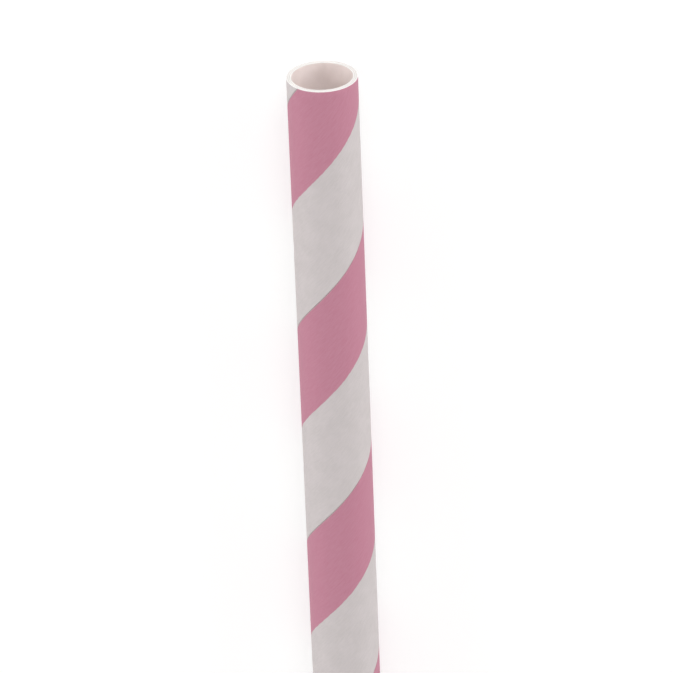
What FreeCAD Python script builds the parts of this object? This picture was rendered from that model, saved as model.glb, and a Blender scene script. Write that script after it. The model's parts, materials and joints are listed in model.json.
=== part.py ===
import FreeCAD, Part
import math
import os
import Sketcher

# A straight paper drinking straw, wound from glued strips of paper and cut square at both ends.
# It lies along X with its underside on Z = 0 and its middle over the origin. The mouth is the +X
# end. The strips' edges butt against each other, so the wound wall is a plain round tube. Only the
# line that it lies on is pressed flat, by less than a tenth of the wall.

# Alias, value in millimetres and meaning of each driving size.
DRIVING_SIZES = [
    ("OuterDiameter", 6.0, "outside of the tube"),
    ("WallThickness", 0.42, "three plies of paper with their glue"),
    ("StrawLength", 197.0, "cut length"),
    ("EdgeRounding", 0.06, "radius that the blade leaves on the edges of an end"),
    ("RestWidth", 0.8, "width of the flat along the underside"),
]

OUTER_RADIUS = "sizes.OuterDiameter / 2"
BORE_RADIUS = "sizes.OuterDiameter / 2 - sizes.WallThickness"
AXIS_HEIGHT = "sqrt((sizes.OuterDiameter / 2) ^ 2 - (sizes.RestWidth / 2) ^ 2)"

# Degrees at which the section's arc is first drawn to begin and end, either side of straight down.
# The width of the flat then moves both ends to their places.
FIRST_ARC_ENDS = (-80, 260)


def make_sheet(doc):
    """The spreadsheet: each row holds a size's meaning, and its value under an alias."""
    sheet = doc.addObject("Spreadsheet::Sheet", "sizes")
    for row, (alias, value, meaning) in enumerate(DRIVING_SIZES, start=1):
        sheet.set(f"A{row}", meaning)
        sheet.set(f"B{row}", str(value))
        sheet.setAlias(f"B{row}", alias)
    doc.recompute()
    return sheet


def bind(sketch, name, constraint, expression):
    """Adds a size constraint under a name and ties its value to the sheet."""
    sketch.renameConstraint(sketch.addConstraint(constraint), name)
    sketch.setExpression(f"Constraints.{name}", expression)


def draw_wall_section(body):
    """The straw's cross-section: an arc closed by the flat below it, and a circle for the bore."""
    section = body.newObject("Sketcher::SketchObject", "wall_section")
    plane = next(item for item in body.Origin.OriginFeatures if item.Role == "YZ_Plane")
    section.AttachmentSupport = (plane, [""])
    section.MapMode = "FlatFace"
    unit_circle = Part.Circle(FreeCAD.Vector(0, 0, 0), FreeCAD.Vector(0, 0, 1), 1)
    ends = [math.radians(angle) for angle in FIRST_ARC_ENDS]
    outside = section.addGeometry(Part.ArcOfCircle(unit_circle, *ends), False)
    left, right = [FreeCAD.Vector(math.cos(angle), math.sin(angle), 0) for angle in reversed(ends)]
    flat = section.addGeometry(Part.LineSegment(left, right), False)
    bore = section.addGeometry(unit_circle, False)
    for curve in (outside, bore):
        section.addConstraint(Sketcher.Constraint("Coincident", curve, 3, -1, 1))
    section.addConstraint(Sketcher.Constraint("Coincident", outside, 2, flat, 1))
    section.addConstraint(Sketcher.Constraint("Coincident", flat, 2, outside, 1))
    section.addConstraint(Sketcher.Constraint("Horizontal", flat))
    bind(section, "outside", Sketcher.Constraint("Radius", outside, 1), OUTER_RADIUS)
    bind(section, "bore", Sketcher.Constraint("Radius", bore, 1), BORE_RADIUS)
    bind(section, "flat", Sketcher.Constraint("DistanceX", flat, 1, flat, 2, 1), "sizes.RestWidth")
    return section


def make_wall(body):
    """The wall, as long to one side of the middle as to the other."""
    wall = body.newObject("PartDesign::Pad", "wall")
    wall.Profile = draw_wall_section(body)
    wall.SideType = "Symmetric"
    wall.setExpression("Length", "sizes.StrawLength")
    return wall


def round_end_edges(body, wall):
    """Rounds the edges of the two cut ends, outside and bore, all of which lie across the straw."""
    end_edges = [
        f"Edge{number}"
        for number, edge in enumerate(wall.Shape.Edges, start=1)
        if edge.BoundBox.XLength < edge.Length / 2
    ]
    rounding = body.newObject("PartDesign::Fillet", "end_rounding")
    rounding.Base = (wall, end_edges)
    rounding.setExpression("Radius", "sizes.EdgeRounding")


def make_straw(doc):
    """The straw: the wound wall, then its cut ends."""
    straw = doc.addObject("PartDesign::Body", "straw_tube")
    straw.Label = "straw_tube"
    wall = make_wall(straw)
    doc.recompute()
    round_end_edges(straw, wall)
    straw.setExpression("Placement.Base.z", AXIS_HEIGHT)
    doc.recompute()
    return wall, straw


def check_model(doc, wall, straw, sheet):
    """Stops if a feature failed, the solid is unsound or the rounding misses one of the edges."""
    failed = [item.Name for item in doc.Objects if {"Invalid", "Error"} & set(item.State)]
    if failed:
        raise RuntimeError("failed: " + ", ".join(failed))
    shape = straw.Shape
    if shape.isNull() or not shape.isValid() or len(shape.Solids) != 1:
        raise RuntimeError("the straw is not one sound solid")
    outer_radius = sheet.OuterDiameter / 2
    bore_radius = outer_radius - sheet.WallThickness
    # A rounded edge loses a square less a quarter disc, all along the circle that it follows.
    edge_length = 2 * 2 * math.pi * (outer_radius + bore_radius)
    expected = (1 - math.pi / 4) * sheet.EdgeRounding ** 2 * edge_length
    allowed_share = 0.1
    removed = wall.Shape.Volume - shape.Volume
    print(f"rounding removed {removed:.4f} cubic mm, expected {expected:.4f}")
    if abs(removed - expected) > allowed_share * expected:
        raise RuntimeError("an edge of a cut end was left sharp")


doc = FreeCAD.newDocument("paper_straw")
sheet = make_sheet(doc)
wall, straw = make_straw(doc)
check_model(doc, wall, straw, sheet)
os.makedirs("parts", exist_ok=True)
straw.Shape.exportStep(f"parts/{straw.Label}.step")
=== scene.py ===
import json
import math

import bmesh
import bpy
import numpy as np
from mathutils import Matrix, Vector


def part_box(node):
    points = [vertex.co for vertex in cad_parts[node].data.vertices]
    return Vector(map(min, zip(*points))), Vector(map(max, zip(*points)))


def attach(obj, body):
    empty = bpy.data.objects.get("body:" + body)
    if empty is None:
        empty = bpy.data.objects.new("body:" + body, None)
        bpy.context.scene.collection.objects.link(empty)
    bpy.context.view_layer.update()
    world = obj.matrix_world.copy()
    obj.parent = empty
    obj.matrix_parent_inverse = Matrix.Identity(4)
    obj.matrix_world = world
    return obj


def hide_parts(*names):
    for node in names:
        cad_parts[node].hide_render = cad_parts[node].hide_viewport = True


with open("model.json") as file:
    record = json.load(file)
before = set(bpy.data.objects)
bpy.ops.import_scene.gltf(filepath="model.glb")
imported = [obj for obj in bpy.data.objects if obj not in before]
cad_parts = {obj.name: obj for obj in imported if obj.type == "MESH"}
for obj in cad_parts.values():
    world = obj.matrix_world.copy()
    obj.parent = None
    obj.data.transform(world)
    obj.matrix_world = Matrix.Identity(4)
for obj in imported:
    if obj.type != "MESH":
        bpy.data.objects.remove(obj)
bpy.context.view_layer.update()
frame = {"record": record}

mm = 0.001
mounts = {mount["name"]: mount for mount in frame["record"]["mounts"]}
lowCorner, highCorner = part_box("straw_tube")

# The straw. Its first five values come from the frame, the rest is how it is wound and cut.
straw = {
    "outerRadius": mounts["barrel"]["dims"]["r_mm"] * mm,
    "boreRadius": mounts["bore"]["dims"]["r_mm"] * mm,
    "axisHeight": mounts["barrel"]["pos_m"][2],  # a little under the radius, for the flat below
    "mouthX": highCorner.x,
    "tailX": lowCorner.x,
    "pitch": 21.3 * mm,           # how far a strip moves along the straw in one turn
    "outerSeam": 18.75 * mm,      # seam to the mouth end, on the top line
    "innerSeam": 26.25 * mm,
    "stripeWidth": 6.5 * mm,      # pink part of the strip, square across it from the seam

    # how the wound paper departs from a plain tube, all of it inwards
    "seamHalfWidth": 0.045 * mm,  # square across the strip
    "seamDepth": 0.055 * mm,
    "buriedSeam": 0.62,           # where the middle ply's seam lies, as a share of the strip's width
    "buriedHalfWidth": 0.35 * mm,
    "buriedDepth": 0.012 * mm,
    "waveDepth": 0.004 * mm,      # slow unevenness of the paper
    "waveLength": 9 * mm,
    # each wave: turns round the tube, share of the way along it, phase and height
    "waves": [(2, 1.3, 0.4, 1.0), (3, -2.1, 2.0, 0.7), (1, 3.7, 1.1, 0.5)],

    # the cut end: three plies side by side, each a little rounded and not quite level
    "plies": 3,
    "rounding": 0.045 * mm,
    "plyGap": 0.035 * mm,         # depth of the line between two plies
    "plyShoulder": 0.34,          # share of half a ply's width over which its edge falls away
    "uneven": 0.018 * mm,         # how far the plies' tops wander round the end
    "plyPhase": 1.9,              # from ply to ply
    "endPhase": 0.8,              # at the mouth, and as much the other way at the tail
    # each wave of a ply's top: turns round the end, share of the ply's phase, phase and height
    "plyWaves": [(2, 1.0, 0, 1.0), (5, 2.3, 0, 0.6), (11, 3.1, 0, 0.5), (23, 1.0, 0, 0.35)],

    # the mesh
    "columns": 96,                # round the straw
    "columnGap": 0.1,             # what an extra column keeps off the even ones, in their steps
    "rowSpacing": 0.85 * mm,      # along the strip's rows
    "seamRows": [0.0, 0.022, 0.045, 0.12, 0.3],  # mm each side of a seam, square across
    "pointsPerPly": 7,
    "weld": 0.0005 * mm,
}


def stripAngle():
    # angle between the strip's long edge and a circle round the tube
    return math.atan2(straw["pitch"], math.tau * straw["outerRadius"])


def seamHeight(theta, seamPlace):
    # x of a seam: from its place on the top line it climbs one pitch per turn
    return straw["mouthX"] - seamPlace + straw["pitch"] * theta / math.tau


def closeRows():
    # distances along the straw from a seam to the close rows on one side of it
    return np.array(straw["seamRows"]) * mm / math.cos(stripAngle())


def addedSines(waves, theta, shift):
    # sin(turns x theta + share x shift + phase) of each wave, added up by their heights and then
    # brought to between 0 and 1
    total = sum(height * np.sin(turns * theta + share * shift + phase)
                for turns, share, phase, height in waves)
    return 0.5 + total / (2 * sum(height for *_, height in waves))


def trough(share):
    # 1 in the middle, 0 from share 1 outwards, a raised cosine between
    return 0.5 + 0.5 * np.cos(math.pi * np.clip(share, 0, 1))


def paperRadius(theta, x, outside):
    # radius of the wall's face: the plain radius, less a narrow cosine trough at the seam, a wide
    # shallow one over the buried seam and a slow wave, or more by as much in the bore. Outside it
    # stops at the floor, so the straw lies on a narrow flat.
    seamPlace = straw["outerSeam"] if outside else straw["innerSeam"]
    across = (seamHeight(theta, seamPlace) - x) * math.cos(stripAngle())
    width = straw["pitch"] * math.cos(stripAngle())
    fromSeam = np.abs((across + width / 2) % width - width / 2)
    fromBuried = np.abs((across - straw["buriedSeam"] * width + width / 2) % width - width / 2)
    sink = straw["seamDepth"] * trough(fromSeam / straw["seamHalfWidth"])
    sink = sink + straw["buriedDepth"] * trough(fromBuried / straw["buriedHalfWidth"])
    sink = sink + straw["waveDepth"] * addedSines(straw["waves"], theta, x / straw["waveLength"])
    if not outside:
        return straw["boreRadius"] + sink
    # the floor is axisHeight / downward from the axis, and out of reach of the upper half
    downward = np.maximum(-np.cos(theta), 0.5)
    return np.minimum(straw["outerRadius"] - sink, straw["axisHeight"] / downward)


def columnAngles():
    # even columns round the tube, and closer ones where each seam runs out at a cut end
    step = math.tau / straw["columns"]
    even = np.arange(straw["columns"]) * step
    close = closeRows() * math.tau / straw["pitch"]
    close = np.concatenate([-close[:-1][::-1], close[1:-1]])
    extra = []
    for seamPlace in (straw["outerSeam"], straw["innerSeam"]):
        for endX in (straw["mouthX"], straw["tailX"]):
            turns = (endX - straw["mouthX"] + seamPlace) / straw["pitch"]
            extra.append(math.tau * turns + close)
    extra = np.mod(np.concatenate(extra), math.tau)
    gap = np.abs((extra[:, None] - even[None, :] + math.pi) % math.tau - math.pi)
    extra = extra[gap.min(axis=1) > straw["columnGap"] * step]
    return np.concatenate([np.sort(np.concatenate([even, extra])), [math.tau]])


def rowOffsets(seamPlace):
    # distances below the seam, on the top line: even steps, and close rows on both sides of each
    # turn of the seam, from above the mouth down past the tail
    close = closeRows()
    pitch = straw["pitch"]
    evenCount = round((pitch - 2 * close[-1]) / straw["rowSpacing"])
    even = np.linspace(close[-1], pitch - close[-1], evenCount + 1)
    oneTurn = np.concatenate([close[:-1], even, pitch - close[1:-1][::-1]])
    length = straw["mouthX"] - straw["tailX"]
    firstTurn = -math.ceil(seamPlace / pitch) - 1
    lastTurn = math.ceil((length - seamPlace) / pitch) + 1
    turns = np.arange(firstTurn, lastTurn + 1)
    return (turns[:, None] * pitch + oneTurn[None, :]).ravel(), turns.repeat(len(oneTurn))


def gridTriangles(rows, columns, flip):
    # two triangles for each cell of a grid that is stored row by row
    index = np.arange(rows * columns).reshape(rows, columns)
    a, b = index[:-1, :-1].ravel(), index[:-1, 1:].ravel()
    c, d = index[1:, 1:].ravel(), index[1:, :-1].ravel()
    faces = np.concatenate([np.stack([a, b, c], 1), np.stack([a, c, d], 1)])
    return faces[:, ::-1] if flip else faces


def onTube(theta, radius, x):
    # a point at angle theta from the top line, turning right-handed about the straw's +X axis
    y = -radius * np.sin(theta)
    z = straw["axisHeight"] + radius * np.cos(theta)
    return np.stack([x, y, z], axis=-1).reshape(-1, 3)


def stripCoordinates(theta, x, seamPlace, turn):
    # the unrolled strip, in millimetres: distance along it, and square across it from its seam.
    # Unrolled, the tube is a sheet of arc length against x, turned by the strip's angle.
    angle = stripAngle()
    below = seamHeight(theta, seamPlace) - x - turn * straw["pitch"]
    across = below * math.cos(angle)
    seamRun = straw["outerRadius"] * (theta - math.tau * turn) / math.cos(angle)
    along = seamRun - below * math.sin(angle)
    return np.stack([along / mm, across / mm], axis=-1).reshape(-1, 2)


def windWall(outside):
    # one face of the wall: rows follow the strip, so x = seam's x - offset on every column, and the
    # rows that leave the straw are clipped to its ends, inside the ends' rounding
    seamPlace = straw["outerSeam"] if outside else straw["innerSeam"]
    offsets, turns = rowOffsets(seamPlace)
    theta = columnAngles()[None, :] + 0 * offsets[:, None]
    top = straw["mouthX"] - straw["rounding"]
    bottom = straw["tailX"] + straw["rounding"]
    x = np.clip(seamHeight(theta, seamPlace) - offsets[:, None], bottom, top)
    points = onTube(theta, paperRadius(theta, x, outside), x)
    faces = gridTriangles(*x.shape, flip=not outside)
    # every face reads the strip of its own first row, so no face spans the jump at a seam
    rowOfFace = np.minimum.reduce(faces // x.shape[1], axis=1)
    faceTurn = turns[rowOfFace][:, None]
    corners = stripCoordinates(theta.ravel()[faces], x.ravel()[faces], seamPlace, faceTurn)
    return points, faces, corners


def endHeight(share, theta, sign):
    # height of the cut end over its base, across the wall from outside (0) to bore (1): each ply is
    # a flat top that falls away at both its edges, lower or higher by a slow wave of its own
    plies = straw["plies"]
    ply = np.minimum((share * plies).astype(int), plies - 1)
    within = np.clip(share * plies - ply, 0, 1)
    fromEdge = 1 - np.abs(2 * within - 1)
    fall = np.clip(1 - fromEdge / straw["plyShoulder"], 0, 1) ** 2
    # the half plies beside the wall's two faces fall away deeper than the lines between plies
    outerEdge = (share < 0.5 / plies) | (share > 1 - 0.5 / plies)
    depth = np.where(outerEdge, straw["rounding"] - straw["uneven"], straw["plyGap"])
    phase = straw["plyPhase"] * ply + straw["endPhase"] * sign
    top = straw["rounding"] - straw["uneven"] * addedSines(straw["plyWaves"], theta, phase)
    onBase = (share <= 0) | (share >= 1)
    return np.where(onBase, 0, top - depth * fall)


def cutFace(sign):
    # the cut end at the mouth (sign 1) or the tail (-1): a ring from the outside to the bore
    endX = straw["mouthX"] if sign > 0 else straw["tailX"]
    baseX = endX - sign * straw["rounding"]
    plies = straw["plies"]
    corner = 0.5 - 0.5 * np.cos(np.linspace(0, math.pi, straw["pointsPerPly"]))
    share = np.concatenate([(ply + corner) / plies for ply in range(plies)])
    share = np.unique(np.round(share, 9))  # the border of two plies is kept once
    theta = columnAngles()[None, :] + 0 * share[:, None]
    share = share[:, None] + 0 * theta
    outer = paperRadius(theta, baseX + 0 * theta, True)
    bore = paperRadius(theta, baseX + 0 * theta, False)
    x = baseX + sign * endHeight(share, theta, sign)
    faces = gridTriangles(*x.shape, flip=sign > 0)
    # its flat pattern, in millimetres: distance round the end, and across the wall
    around = straw["outerRadius"] * theta / mm
    across = share * (straw["outerRadius"] - straw["boreRadius"]) / mm
    flat = np.stack([around, across], axis=-1).reshape(-1, 2)
    return onTube(theta, outer + (bore - outer) * share, x), faces, flat[faces]


def weldMesh(mesh):
    # merges the points that the faces share, turns every face outwards and drops unused points
    welded = bmesh.new()
    welded.from_mesh(mesh)
    bmesh.ops.remove_doubles(welded, verts=welded.verts, dist=straw["weld"])
    bmesh.ops.recalc_face_normals(welded, faces=welded.faces)
    loose = [vertex for vertex in welded.verts if not vertex.link_faces]
    bmesh.ops.delete(welded, geom=loose, context="VERTS")
    openEdges = sum(len(edge.link_faces) != 2 for edge in welded.edges)
    volume = welded.calc_volume() / mm ** 3
    welded.to_mesh(mesh)
    welded.free()
    print("tube:", len(mesh.polygons), "triangles,", openEdges, "open edges,",
          "volume", round(volume, 1), "cubic mm")


def makeTube(materials):
    # the whole wall as one closed mesh: outside, bore and two cut ends, welded where they meet
    # each piece goes with its place among the materials: printed, bore or cut paper
    pieces = [(windWall(True), 0), (windWall(False), 1), (cutFace(1), 2), (cutFace(-1), 2)]
    points, faces, corners, slots, start = [], [], [], [], 0
    for (piecePoints, pieceFaces, pieceCorners), slot in pieces:
        points.append(piecePoints)
        faces.append(pieceFaces + start)
        corners.append(pieceCorners.reshape(-1, 2))
        slots.append(np.full(len(pieceFaces), slot))
        start += len(piecePoints)
    mesh = bpy.data.meshes.new("woundPaper")
    mesh.from_pydata(np.concatenate(points), [], np.concatenate(faces).tolist(), shade_flat=False)
    mesh.polygons.foreach_set("material_index", np.concatenate(slots).astype(np.int32))
    strip = mesh.uv_layers.new(name="strip")
    strip.data.foreach_set("uv", np.concatenate(corners).astype(np.float32).ravel())
    weldMesh(mesh)
    for material in materials:
        mesh.materials.append(material)
    tube = bpy.data.objects.new("woundPaperTube", mesh)
    bpy.context.scene.collection.objects.link(tube)
    return tube


class Nodes:
    # short ways to add nodes to a material or a group and to join them

    def __init__(self, tree):
        self.tree = tree

    def add(self, kind, inputs=(), **settings):
        # a node with its settings, each input fed by another node's socket or a plain value
        node = self.tree.nodes.new(kind)
        for name, value in settings.items():
            setattr(node, name, value)
        for socket, value in dict(inputs).items():
            self.feed(node.inputs[socket], value)
        return node

    def feed(self, socket, value):
        # a link from another socket, or a plain value
        if isinstance(value, bpy.types.NodeSocket):
            self.tree.links.new(value, socket)
        else:
            socket.default_value = value

    def maths(self, operation, *values):
        return self.add("ShaderNodeMath", dict(enumerate(values)), operation=operation).outputs[0]

    def noise(self, place, scale, **inputs):
        inputs = {"Vector": place, "Scale": scale, **inputs}
        return self.add("ShaderNodeTexNoise", inputs, noise_dimensions="2D").outputs[0]

    def between(self, value, low, high):
        # 0 below low, 1 above high and a smooth step between
        inputs = {"Value": value, "From Min": low, "From Max": high}
        return self.add("ShaderNodeMapRange", inputs, interpolation_type="SMOOTHSTEP").outputs[0]

    def mixColours(self, share, first, second):
        # a Mix node's colours go in at 6 and 7 and come out at 2
        inputs = {0: share, 6: first, 7: second}
        return self.add("ShaderNodeMix", inputs, data_type="RGBA").outputs[2]

    def seenPlainly(self):
        # 1 for what the camera sees, straight or in gloss or glass, and 0 for light on the object
        rays = self.add("ShaderNodeLightPath").outputs
        shiny = self.maths("MAXIMUM", rays["Is Glossy Ray"], rays["Is Transmission Ray"])
        return self.maths("MAXIMUM", rays["Is Camera Ray"], shiny)


def colour(red, green, blue):
    # a display colour, 0 to 255, as the linear values that Blender keeps: the sRGB curve
    shares = np.array([red, green, blue]) / 255
    linear = np.where(shares <= 0.04045, shares / 12.92, ((shares + 0.055) / 1.055) ** 2.4)
    return (*linear.tolist(), 1.0)


# paper grain, in millimetres as in the strip's UV map
paperGrain = {
    "fibreLength": 0.9,
    "fibreWidth": 0.11,
    "cloudSize": 1.6,
    "specksPerMm": 9.0,
    "fibreNoise": {"Detail": 3.0, "Roughness": 0.6, "Distortion": 0.4},
    "cloudNoise": {"Detail": 4.0, "Roughness": 0.55},
    "speckNoise": {"Detail": 2.0},
    "fibreRange": (0.25, 0.75),  # noise values at which fibres begin and are full
    "cloudRange": (0.3, 0.7),
    "fibreHeight": 0.7,          # shares of the bump
    "speckHeight": 0.3,
}


def makeGrainGroup():
    # Paper grain. Fibres are noise stretched along the strip, clouds are slow noise and specks are
    # fine noise. Height is the fibres and specks added up, for a Bump node.
    group = bpy.data.node_groups.new("paperGrain", "ShaderNodeTree")
    group.interface.new_socket("Place", in_out="INPUT", socket_type="NodeSocketVector")
    for name, start in (("Fibre Length", "fibreLength"), ("Fibre Width", "fibreWidth"),
                        ("Cloud Size", "cloudSize")):
        socket = group.interface.new_socket(name, in_out="INPUT", socket_type="NodeSocketFloat")
        socket.default_value = paperGrain[start]
    for name in ("Clouds", "Fibres", "Height"):
        group.interface.new_socket(name, in_out="OUTPUT", socket_type="NodeSocketFloat")
    n = Nodes(group)
    given = n.add("NodeGroupInput").outputs
    place = n.add("ShaderNodeSeparateXYZ", {0: given["Place"]}).outputs
    along = n.maths("DIVIDE", place[0], given["Fibre Length"])
    across = n.maths("DIVIDE", place[1], given["Fibre Width"])
    stretched = n.add("ShaderNodeCombineXYZ", {0: along, 1: across}).outputs[0]
    fibres = n.noise(stretched, 1.0, **paperGrain["fibreNoise"])
    cloudScale = n.maths("DIVIDE", 1.0, given["Cloud Size"])
    clouds = n.noise(given["Place"], cloudScale, **paperGrain["cloudNoise"])
    specks = n.noise(given["Place"], paperGrain["specksPerMm"], **paperGrain["speckNoise"])
    height = n.maths("ADD", n.maths("MULTIPLY", fibres, paperGrain["fibreHeight"]),
                     n.maths("MULTIPLY", specks, paperGrain["speckHeight"]))
    n.add("NodeGroupOutput", {"Clouds": n.between(clouds, *paperGrain["cloudRange"]),
                              "Fibres": n.between(fibres, *paperGrain["fibreRange"]),
                              "Height": height})
    return group


# paper and print, with lengths in millimetres
paper = {
    "white": colour(212, 204, 204),
    "whiteCloudy": colour(203, 196, 195),
    "cloudShare": 0.4,                   # how much clouds and fibres turn white to cloudy
    "fibreShare": 0.6,
    "pink": colour(192, 127, 147),
    "pinkThin": colour(197, 138, 156),   # where the ink lies thinner
    "thinShare": 0.8,                    # how much fibres turn pink to thin
    "edgeWander": 0.05,                  # how far a printed edge strays
    "edgeStraysPerMm": 2.2,
    "edgeDetail": 3.0,
    "edgeSoftness": 0.035,
    "seamShade": colour(165, 141, 143),  # painted shade, where the seam's thin groove keeps out the light
    "seamShadeShare": 0.6,
    "seamShadeWidth": 0.06,              # to each side of the seam
    "printedRoughness": (0.58, 0.74),    # off the fibres and on them
    "printedBump": 0.02,

    # painted light: the bore is paler than the outside's white and tinted warm pink, for light
    # bounced off the paper and a painted pink reflection
    "bore": colour(233, 221, 218),
    "boreCloudy": colour(228, 215, 211),
    "boreGrain": {"Cloud Size": 2.4},
    "boreRoughness": (0.66, 0.8),
    "boreBump": 0.014,

    "cut": colour(224, 222, 220),
    "cutGap": colour(202, 195, 190),     # between two plies
    "gapFade": (0.05, 0.22),             # from a ply's edge, as a share of its width
    "gapKeepsOff": (0.3, 0.6),           # from the wall's two faces, in the same measure
    "cutGrain": {"Fibre Length": 0.16, "Fibre Width": 0.05, "Cloud Size": 0.5},
    "cutRoughness": (0.78, 0.92),
    "cutBump": 0.02,

    "specular": 0.35,
}


def newMaterial(name):
    # an empty material and the hand that adds its nodes
    material = bpy.data.materials.new(name)
    material.use_nodes = True
    material.node_tree.nodes.clear()
    return material, Nodes(material.node_tree)


def startPaper(name, grainGroup, **grainValues):
    # a new paper, its place on the unrolled strip, and the grain there
    material, n = newMaterial(name)
    place = n.add("ShaderNodeUVMap", uv_map="strip").outputs[0]
    inputs = {"Place": place, **grainValues}
    grain = n.add("ShaderNodeGroup", inputs, node_tree=grainGroup).outputs
    return material, n, place, grain


def finishPaper(n, base, grain, roughness, bumpDepth):
    # the shader: fibres take the roughness from its first value to its second, and the grain's
    # height makes a bump of the given depth
    smooth, rough = roughness
    inputs = {"Value": grain["Fibres"], "To Min": smooth, "To Max": rough}
    roughness = n.add("ShaderNodeMapRange", inputs).outputs[0]
    inputs = {"Height": grain["Height"], "Strength": 1.0, "Distance": bumpDepth * mm}
    bump = n.add("ShaderNodeBump", inputs).outputs[0]
    inputs = {"Base Color": base, "Roughness": roughness, "Normal": bump,
              "Specular IOR Level": paper["specular"]}
    skin = n.add("ShaderNodeBsdfPrincipled", inputs).outputs[0]
    n.add("ShaderNodeOutputMaterial", {"Surface": skin})


def makePrintedPaper(grainGroup):
    # Outside: white paper with one pink band. The band runs from the seam (0 across the strip) to
    # the stripe's width. Its free edge wanders a little, and the edge at the seam is cut clean.
    # Along the seam lies a painted shade, a darker thin line that stands in for the shade in its
    # groove, fading out over its shade's width to both sides.
    material, n, place, grain = startPaper("printedPaper", grainGroup)
    across = n.add("ShaderNodeSeparateXYZ", {0: place}).outputs[1]
    stray = n.noise(place, paper["edgeStraysPerMm"], Detail=paper["edgeDetail"])
    stray = n.maths("MULTIPLY", n.maths("SUBTRACT", stray, 0.5), 2 * paper["edgeWander"])
    stripeEnd = straw["stripeWidth"] / mm
    soft = paper["edgeSoftness"]
    pastSeam = n.between(across, 0.0, soft)
    pastStripe = n.between(n.maths("ADD", across, stray), stripeEnd - soft, stripeEnd + soft)
    inked = n.maths("MULTIPLY", pastSeam, n.maths("SUBTRACT", 1.0, pastStripe))
    cloudy = n.maths("ADD", n.maths("MULTIPLY", grain["Clouds"], paper["cloudShare"]),
                     n.maths("MULTIPLY", grain["Fibres"], paper["fibreShare"]))
    white = n.mixColours(cloudy, paper["white"], paper["whiteCloudy"])
    thin = n.maths("MULTIPLY", grain["Fibres"], paper["thinShare"])
    pink = n.mixColours(thin, paper["pink"], paper["pinkThin"])
    base = n.mixColours(inked, white, pink)
    # painted shade along each seam: the colour darkens towards the seam over the shade's width
    stripWidth = straw["pitch"] * math.cos(stripAngle()) / mm
    toNextSeam = n.maths("ABSOLUTE", n.maths("SUBTRACT", across, stripWidth))
    toSeam = n.maths("MINIMUM", n.maths("ABSOLUTE", across), toNextSeam)
    paintedSeamShade = n.maths("SUBTRACT", 1.0, n.between(toSeam, 0.0, paper["seamShadeWidth"]))
    shade = n.maths("MULTIPLY", paintedSeamShade, paper["seamShadeShare"])
    base = n.mixColours(shade, base, paper["seamShade"])
    finishPaper(n, base, grain, paper["printedRoughness"], paper["printedBump"])
    return material


def makeBorePaper(grainGroup):
    # Bore: unprinted paper, painted paler and a little warmer than the outside, for the light that
    # comes off paper all round
    material, n, _, grain = startPaper("borePaper", grainGroup, **paper["boreGrain"])
    base = n.mixColours(grain["Clouds"], paper["bore"], paper["boreCloudy"])
    finishPaper(n, base, grain, paper["boreRoughness"], paper["boreBump"])
    return material


def makeCutPaper(grainGroup):
    # Cut ends: white fibres, greyer in the lines between the plies. The lines lie at whole plies
    # across the wall and keep off its two faces.
    material, n, place, grain = startPaper("cutPaper", grainGroup, **paper["cutGrain"])
    across = n.add("ShaderNodeSeparateXYZ", {0: place}).outputs[1]
    plyWidth = (straw["outerRadius"] - straw["boreRadius"]) / straw["plies"] / mm
    within = n.maths("FRACT", n.maths("DIVIDE", across, plyWidth))
    fromEdge = n.maths("MINIMUM", within, n.maths("SUBTRACT", 1.0, within))
    gap = n.maths("SUBTRACT", 1.0, n.between(fromEdge, *paper["gapFade"]))
    near, far = [share * plyWidth for share in paper["gapKeepsOff"]]
    wall = plyWidth * straw["plies"]
    pastBore = n.between(across, wall - far, wall - near)
    inside = n.maths("MULTIPLY", n.between(across, near, far), n.maths("SUBTRACT", 1.0, pastBore))
    base = n.mixColours(n.maths("MULTIPLY", gap, inside), paper["cut"], paper["cutGap"])
    finishPaper(n, base, grain, paper["cutRoughness"], paper["cutBump"])
    return material


stage = {
    "floorSize": 8.0,
    "floorColour": colour(244, 243, 242),
    "whiteShare": 0.5,      # part of the floor's look that is plain white, the rest keeps the shadow
    "whiteStrength": 1.28,
    "whiteFrom": 0.25,      # metres from the middle where the floor starts to turn all white
    "allWhite": 0.9,
    "ambient": 0.4,
}

plainWhite = (1.0, 1.0, 1.0, 1.0)


def makeFloor():
    # a flat floor, part plain white to the eye and part lit. The plain part grows from its share
    # near the straw to 1 far out, by a smooth step.
    half = stage["floorSize"] / 2
    corners = [(-half, -half, 0), (half, -half, 0), (half, half, 0), (-half, half, 0)]
    mesh = bpy.data.meshes.new("floor")
    mesh.from_pydata(corners, [], [(0, 1, 2, 3)])
    floor = bpy.data.objects.new("floor", mesh)
    bpy.context.scene.collection.objects.link(floor)
    material, n = newMaterial("floorPaint")
    lit = n.add("ShaderNodeBsdfDiffuse", {"Color": stage["floorColour"]}).outputs[0]
    inputs = {"Color": plainWhite, "Strength": stage["whiteStrength"]}
    plain = n.add("ShaderNodeEmission", inputs).outputs[0]
    place = n.add("ShaderNodeTexCoord").outputs["Object"]
    reach = n.add("ShaderNodeVectorMath", {0: place}, operation="LENGTH").outputs["Value"]
    far = n.between(reach, stage["whiteFrom"], stage["allWhite"])
    grown = n.maths("MULTIPLY", far, 1 - stage["whiteShare"])
    share = n.maths("MULTIPLY", n.seenPlainly(), n.maths("ADD", stage["whiteShare"], grown))
    mixed = n.add("ShaderNodeMixShader", {0: share, 1: lit, 2: plain}).outputs[0]
    n.add("ShaderNodeOutputMaterial", {"Surface": mixed})
    mesh.materials.append(material)


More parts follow.
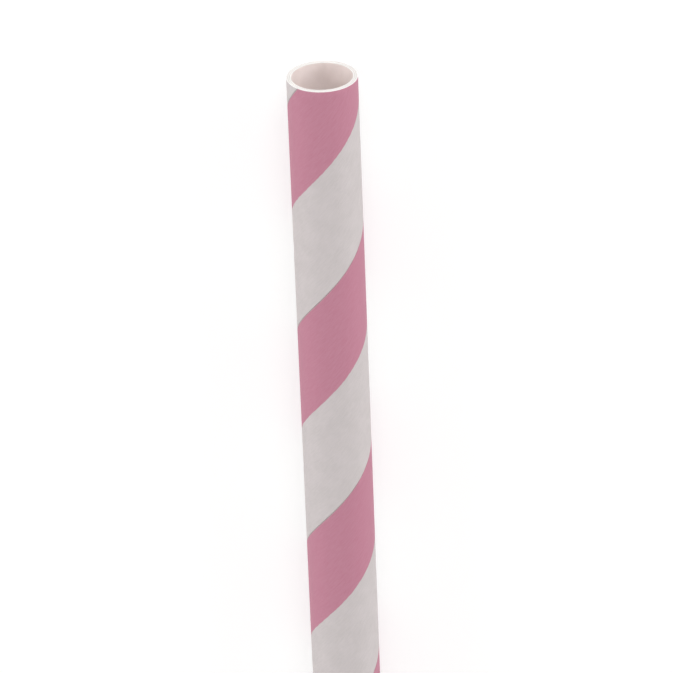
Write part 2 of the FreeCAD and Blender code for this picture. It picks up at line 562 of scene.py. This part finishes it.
def makeSky():
    # a sky that is white to the eye and gives the object a weaker, even light
    world = bpy.data.worlds.new("plainWorld")
    world.use_nodes = True
    world.node_tree.nodes.clear()
    n = Nodes(world.node_tree)
    ambient = stage["ambient"]
    strength = n.maths("ADD", ambient, n.maths("MULTIPLY", n.seenPlainly(), 1 - ambient))
    inputs = {"Color": plainWhite, "Strength": strength}
    sky = n.add("ShaderNodeBackground", inputs).outputs[0]
    n.add("ShaderNodeOutputWorld", {"Surface": sky})
    bpy.context.scene.world = world


# place and size in metres, power in watts
lamps = {
    "mouthSide": {"place": (1.46, -0.12, 0.8), "size": 0.9, "power": 14.5},
    "rightSide": {"place": (0.55, -1.1, 0.31), "size": 0.7, "power": 5.9},
    "leftSide": {"place": (0.55, 1.1, 0.31), "size": 0.7, "power": 5.9},
    "tailSide": {"place": (-1.3, 0.2, 0.3), "size": 0.7, "power": 5.1},
}


def makeLamps():
    # soft round lamps that all aim at the middle of the floor and stay out of the picture
    for name, lamp in lamps.items():
        data = bpy.data.lights.new(name, "AREA")
        data.shape = "DISK"
        data.size = lamp["size"]
        data.energy = lamp["power"]
        light = bpy.data.objects.new(name, data)
        light.location = lamp["place"]
        light.rotation_euler = (-Vector(lamp["place"])).to_track_quat("-Z", "Y").to_euler()
        light.visible_camera = False
        bpy.context.scene.collection.objects.link(light)


# how the photographed view lies: the straw's mouth at the top and the eye high over it
view = {
    "frameSize": 673,            # pixels
    "aboveMouthPlane": 26.0,     # degrees between the line of sight to the mouth and its cut plane
    "lean": 2.35,                # degrees by which the straw leans out of upright in the picture
    "pixelsPerMetre": 12000,     # at the mouth
    "mouthPixel": (322, 76),
    "distance": 0.4,             # from the eye to the mouth
    "sensor": 36,                # mm
}


def makeCamera():
    # the eye is in the plane over the straw's top line, tipped from straight above towards the
    # mouth, and turned from the mouth by as much as brings it to its place in the picture
    tip = math.radians(view["aboveMouthPlane"])
    toEye = Vector((math.sin(tip), 0, math.cos(tip)))
    alongStraw = (Vector((1, 0, 0)) - toEye * toEye.x).normalized()
    sideways = (-toEye).cross(alongStraw)
    lean = math.radians(view["lean"])
    up = alongStraw * math.cos(lean) + sideways * math.sin(lean)
    right = sideways * math.cos(lean) - alongStraw * math.sin(lean)
    centre = view["frameSize"] / 2
    focalPixels = view["distance"] * view["pixelsPerMetre"]
    turnRight = (centre - view["mouthPixel"][0]) / focalPixels
    turnUp = (view["mouthPixel"][1] - centre) / focalPixels
    ahead = (right * turnRight + up * turnUp - toEye).normalized()
    right = (right - ahead * right.dot(ahead)).normalized()
    up = right.cross(ahead)
    data = bpy.data.cameras.new("eye")
    data.sensor_width = view["sensor"]
    data.lens = focalPixels * view["sensor"] / view["frameSize"]
    data.dof.use_dof = False
    camera = bpy.data.objects.new("eye", data)
    mouth = Vector((straw["mouthX"], 0, straw["axisHeight"]))
    rotation = Matrix((right, up, -ahead)).transposed().to_quaternion()
    camera.matrix_world = Matrix.LocRotScale(mouth + toEye * view["distance"], rotation, None)
    bpy.context.scene.collection.objects.link(camera)
    bpy.context.scene.camera = camera


makeCamera()
makeFloor()
makeSky()
makeLamps()
print("camera, floor, sky and lamps are in")

grainGroup = makeGrainGroup()
finishes = [makePrintedPaper(grainGroup), makeBorePaper(grainGroup), makeCutPaper(grainGroup)]
print("printed, bore and cut paper are made")

tube = makeTube(finishes)
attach(tube, "root")
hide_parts("straw_tube")
print("the wound tube is in")

bpy.context.scene.view_settings.view_transform = "Standard"
